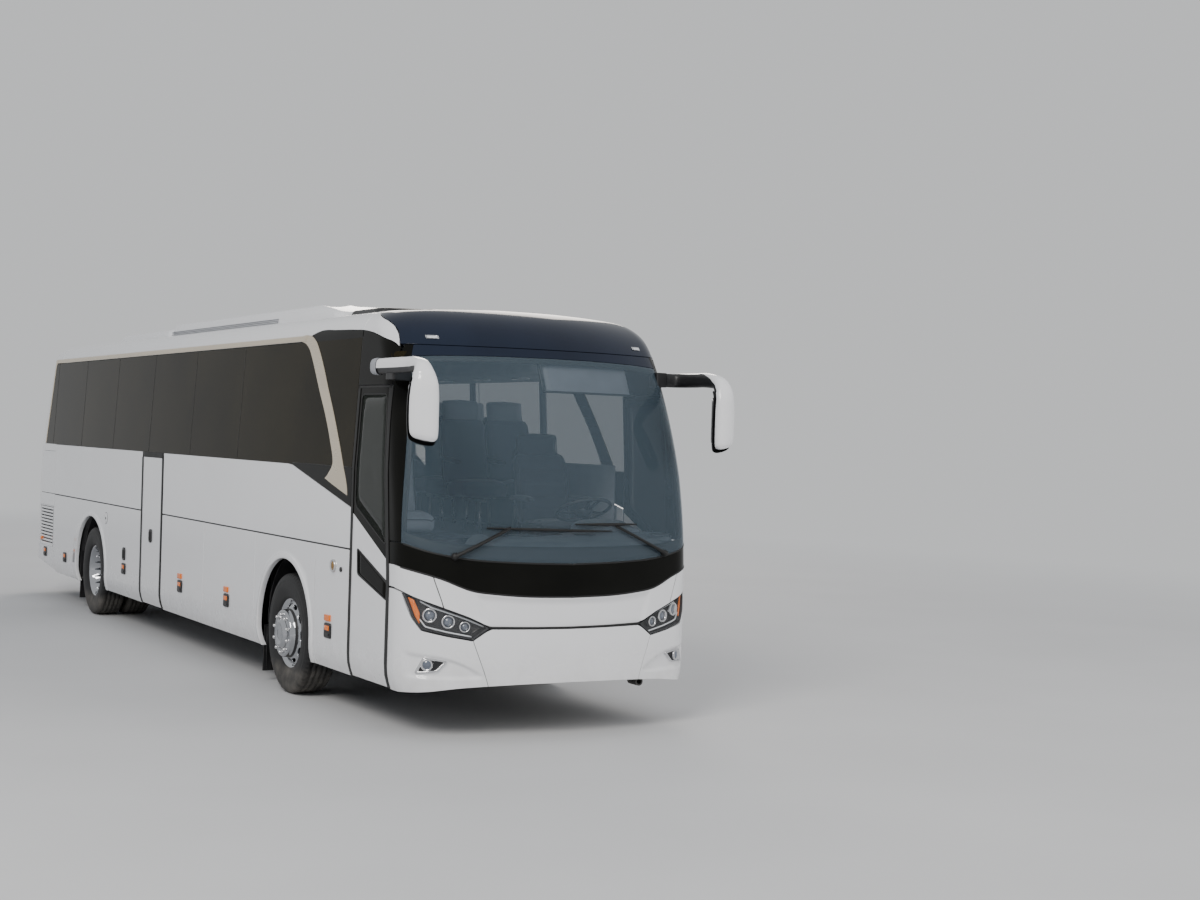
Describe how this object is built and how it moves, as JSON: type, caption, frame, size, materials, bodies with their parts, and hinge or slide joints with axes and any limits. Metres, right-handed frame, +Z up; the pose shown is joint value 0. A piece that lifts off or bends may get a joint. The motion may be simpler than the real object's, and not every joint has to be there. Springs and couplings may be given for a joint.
{
  "type": "coach bus",
  "caption": "Single-deck touring coach with hollow glazed saloon, swing-arm plug doors, hinged skirt flaps, steering front axle and twin rear wheels.",
  "frame": {"origin": "on the ground, in the middle of the overall length and width", "axes": "+Z up, the coach faces -Y, its passenger doors are on the -X side"},
  "size_m": [2.988, 13.0402, 3.4548],
  "materials": {
    "white_paint": "gloss",
    "dark_paint": "high gloss",
    "black_frame": "gloss",
    "black_gloss": "high gloss",
    "black_plastic": "satin",
    "clear_glass": "polished",
    "dark_glass": "polished",
    "satin_metal": "satin",
    "lamp_glass": "polished",
    "red_lamp": "polished",
    "cab_plastic": "grained",
    "seat_fabric": "woven",
    "chassis_paint": "satin",
    "floor_vinyl": "satin",
    "cast_metal": "rough",
    "satin_steel": "satin",
    "polished_metal": "polished",
    "tyre": "matt"
  },
  "bodies": {
    "coach": {"right_wall": "white_paint", "left_wall": "white_paint", "roof": "white_paint", "front_cap": "dark_paint", "front_frame": "black_frame", "cab_panel": "white_paint", "wiper_panel": "black_gloss", "front_mask": "white_paint", "front_bumper": "white_paint", "rear_panel": "white_paint", "rear_cap": "white_paint", "windscreen": "clear_glass", "right_glass": "dark_glass", "left_glass": "dark_glass", "rear_window": "dark_glass", "roof_units": "white_paint", "blade_trims": "satin_metal", "head_lamps": "lamp_glass", "tail_lamps": "red_lamp", "mirrors": "white_paint", "wipers": "black_plastic", "dashboard": "cab_plastic", "seats": "seat_fabric", "underframe": "chassis_paint", "wheel_housings": "black_plastic", "saloon_floor": "floor_vinyl", "front_axle": "chassis_paint", "rear_axle": "chassis_paint", "engine": "cast_metal"},
    "front_door_swing": {"front_door_arm": "satin_steel"},
    "front_door_leaf": {"front_door": "white_paint", "front_door_glass": "dark_glass"},
    "middle_door_swing": {"middle_door_arm": "satin_steel"},
    "middle_door_leaf": {"middle_door": "white_paint"},
    "left_steer": {"left_knuckle": "chassis_paint"},
    "right_steer": {"right_knuckle": "chassis_paint"},
    "engine_lid": {"engine_lid": "white_paint"},
    "right_service_flap": {"right_service_flap": "white_paint"},
    "right_luggage_flap_1": {"right_luggage_flap_1": "white_paint"},
    "right_luggage_flap_2": {"right_luggage_flap_2": "white_paint"},
    "right_rear_flap": {"right_rear_flap": "white_paint"},
    "left_luggage_flap_1": {"left_luggage_flap_1": "white_paint"},
    "left_luggage_flap_2": {"left_luggage_flap_2": "white_paint"},
    "front_right_wheel": {"front_right_rim": "polished_metal", "front_right_tyre": "tyre"},
    "front_left_wheel": {"front_left_rim": "polished_metal", "front_left_tyre": "tyre"},
    "rear_right_wheel": {"rear_right_rim": "polished_metal", "rear_right_tyre": "tyre"},
    "rear_left_wheel": {"rear_left_rim": "polished_metal", "rear_left_tyre": "tyre"}
  },
  "joints": [
    {"name": "front_right_spin", "type": "hinge", "parent": "right_steer", "child": "front_right_wheel", "pos_m": [-1.085, -3.375, 0.522], "axis": [1, 0, 0], "continuous": true},
    {"name": "front_left_spin", "type": "hinge", "parent": "left_steer", "child": "front_left_wheel", "pos_m": [1.085, -3.375, 0.522], "axis": [1, 0, 0], "continuous": true},
    {"name": "rear_right_spin", "type": "hinge", "parent": "coach", "child": "rear_right_wheel", "pos_m": [-1.085, 3.375, 0.522], "axis": [1, 0, 0], "continuous": true},
    {"name": "rear_left_spin", "type": "hinge", "parent": "coach", "child": "rear_left_wheel", "pos_m": [1.085, 3.375, 0.522], "axis": [1, 0, 0], "continuous": true},
    {"name": "left_steering", "type": "hinge", "parent": "coach", "child": "left_steer", "pos_m": [0.88, -3.375, 0.522], "axis": [0, 0, 1], "range_deg": [-40, 40]},
    {"name": "right_steering", "type": "hinge", "parent": "coach", "child": "right_steer", "pos_m": [-0.88, -3.375, 0.522], "axis": [0, 0, 1], "range_deg": [-40, 40]},
    {"name": "front_door_swing", "type": "hinge", "parent": "coach", "child": "front_door_swing", "pos_m": [-1.12, -5.475, 1], "axis": [0, 0, -1], "range_deg": [-100, 0]},
    {"name": "front_door_follow", "type": "hinge", "parent": "front_door_swing", "child": "front_door_leaf", "pos_m": [-1.17, -4.995, 1], "axis": [0, 0, -1], "range_deg": [0, 100]},
    {"name": "middle_door_swing", "type": "hinge", "parent": "coach", "child": "middle_door_swing", "pos_m": [-1.12, 0.62, 1], "axis": [0, 0, -1], "range_deg": [-100, 0]},
    {"name": "middle_door_follow", "type": "hinge", "parent": "middle_door_swing", "child": "middle_door_leaf", "pos_m": [-1.17, 1.1, 1], "axis": [0, 0, -1], "range_deg": [0, 100]},
    {"name": "right_service_flap_hinge", "type": "hinge", "parent": "coach", "child": "right_service_flap", "pos_m": [-1.273, -4.3875, 1.342], "axis": [0, 1, 0], "range_deg": [0, 85]},
    {"name": "right_luggage_flap_1_hinge", "type": "hinge", "parent": "coach", "child": "right_luggage_flap_1", "pos_m": [-1.273, -1.7205, 1.342], "axis": [0, 1, 0], "range_deg": [0, 85]},
    {"name": "right_luggage_flap_2_hinge", "type": "hinge", "parent": "coach", "child": "right_luggage_flap_2", "pos_m": [-1.273, -0.2215, 1.342], "axis": [0, 1, 0], "range_deg": [0, 85]},
    {"name": "right_rear_flap_hinge", "type": "hinge", "parent": "coach", "child": "right_rear_flap", "pos_m": [-1.273, 2.014, 1.342], "axis": [0, 1, 0], "range_deg": [0, 85]},
    {"name": "left_luggage_flap_1_hinge", "type": "hinge", "parent": "coach", "child": "left_luggage_flap_1", "pos_m": [1.273, -1.7205, 1.342], "axis": [0, -1, 0], "range_deg": [0, 85]},
    {"name": "left_luggage_flap_2_hinge", "type": "hinge", "parent": "coach", "child": "left_luggage_flap_2", "pos_m": [1.273, -0.2215, 1.342], "axis": [0, -1, 0], "range_deg": [0, 85]},
    {"name": "engine_lid_hinge", "type": "hinge", "parent": "coach", "child": "engine_lid", "pos_m": [0, 6.508, 1.9], "axis": [1, 0, 0], "range_deg": [0, 80]}
  ],
  "couplings": [
    {"joint": "right_steering", "follows": "left_steering", "ratio": 1},
    {"joint": "front_door_follow", "follows": "front_door_swing", "ratio": -1},
    {"joint": "middle_door_follow", "follows": "middle_door_swing", "ratio": -1}
  ]
}
